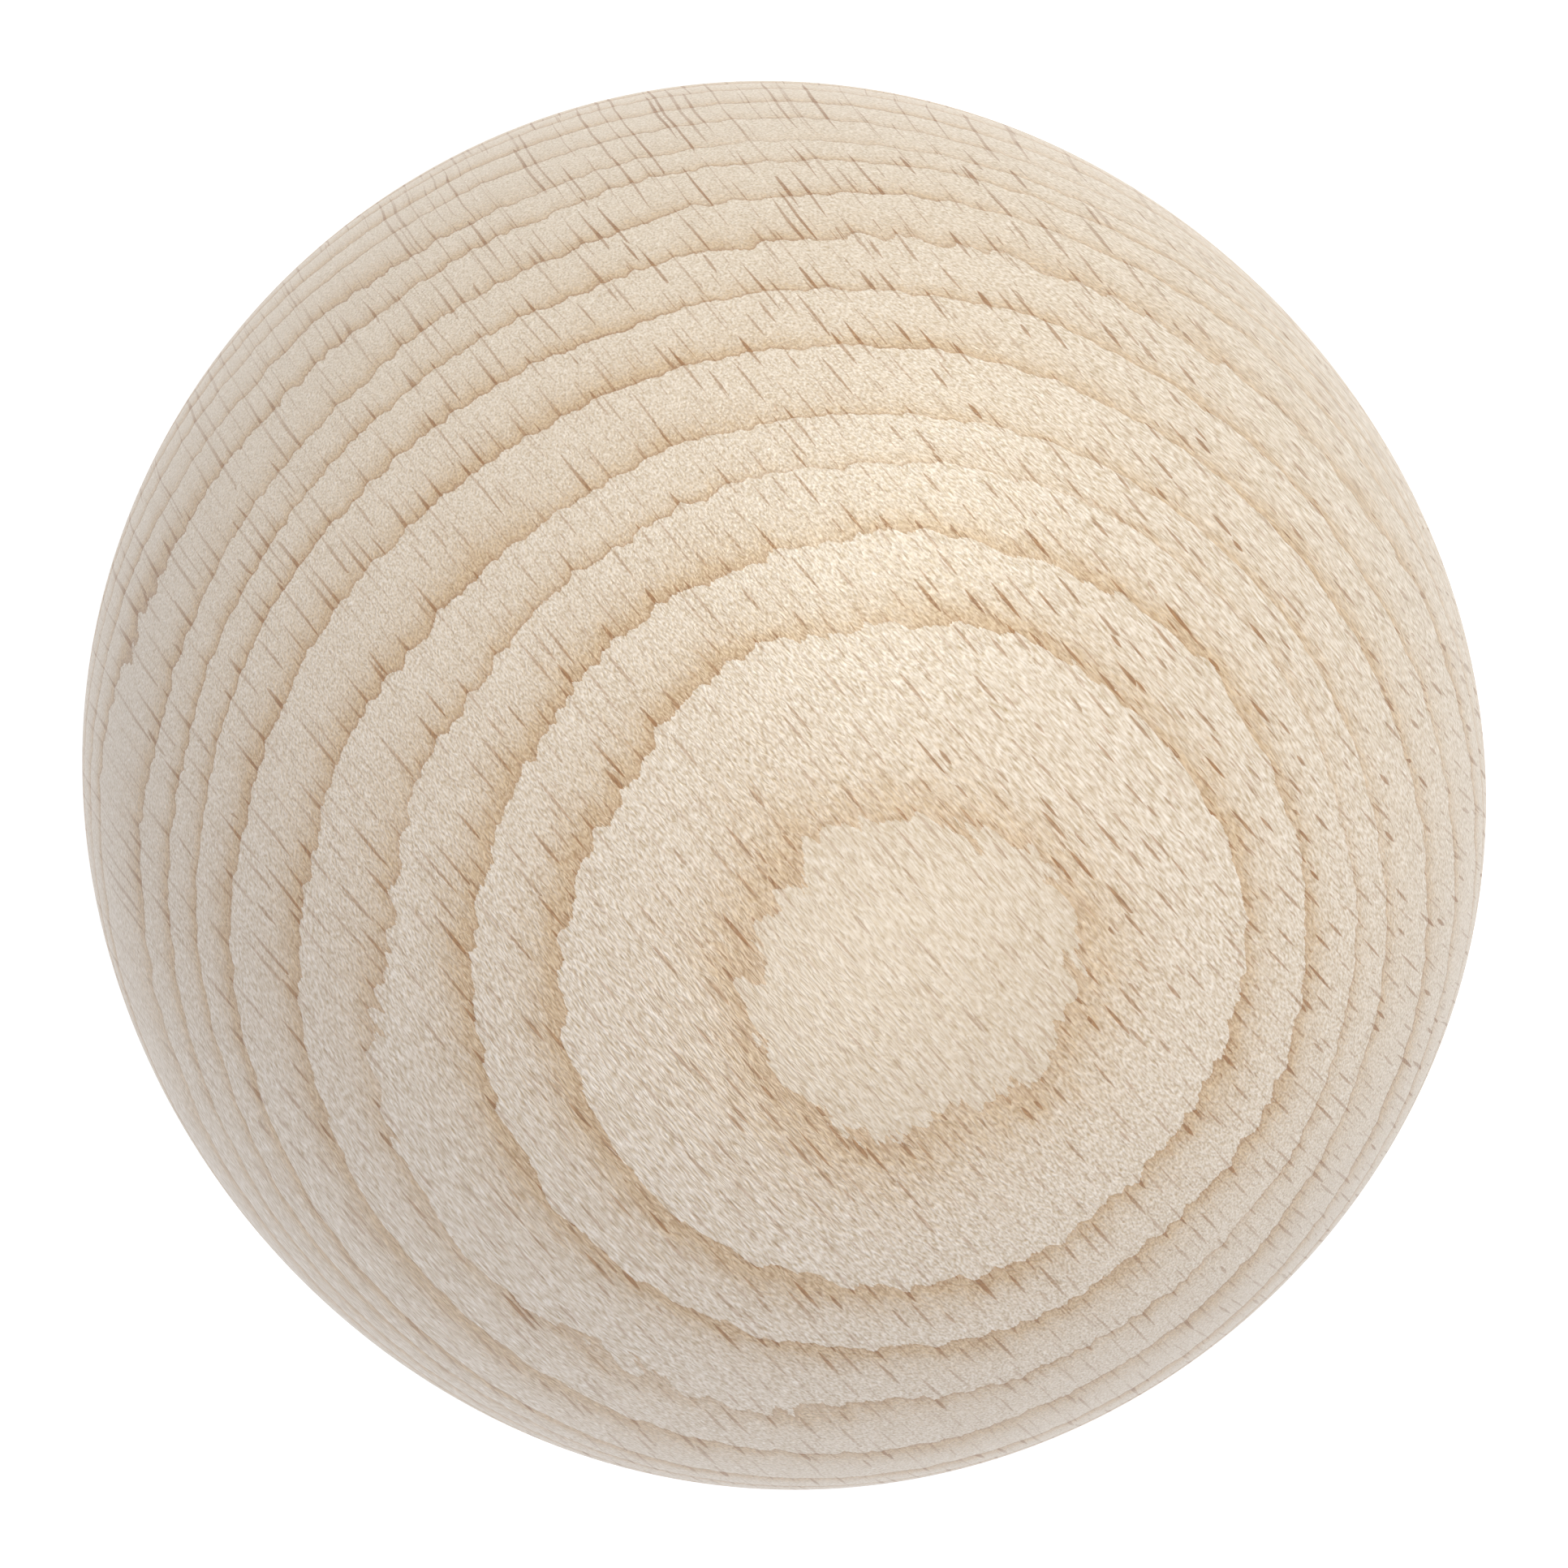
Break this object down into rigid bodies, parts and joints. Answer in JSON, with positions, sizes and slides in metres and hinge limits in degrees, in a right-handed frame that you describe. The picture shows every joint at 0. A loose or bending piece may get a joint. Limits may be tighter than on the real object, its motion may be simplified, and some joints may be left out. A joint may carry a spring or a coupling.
{
  "type": "wooden ball",
  "caption": "Solid turned beech ball with no hole or flat, sanded bare, slightly longer along its grain than across it.",
  "frame": {"origin": "the middle of the ball's bounding box", "axes": "+X along the wood grain, which is also the axis the ball was turned about; +Z towards the side that faced the bark; +Y across the grain, along the growth rings"},
  "size_m": [0.05, 0.0488, 0.0488],
  "materials": {
    "beech": "fine sanded, bare"
  },
  "bodies": {
    "root": {"ball": "beech"}
  },
  "joints": []
}
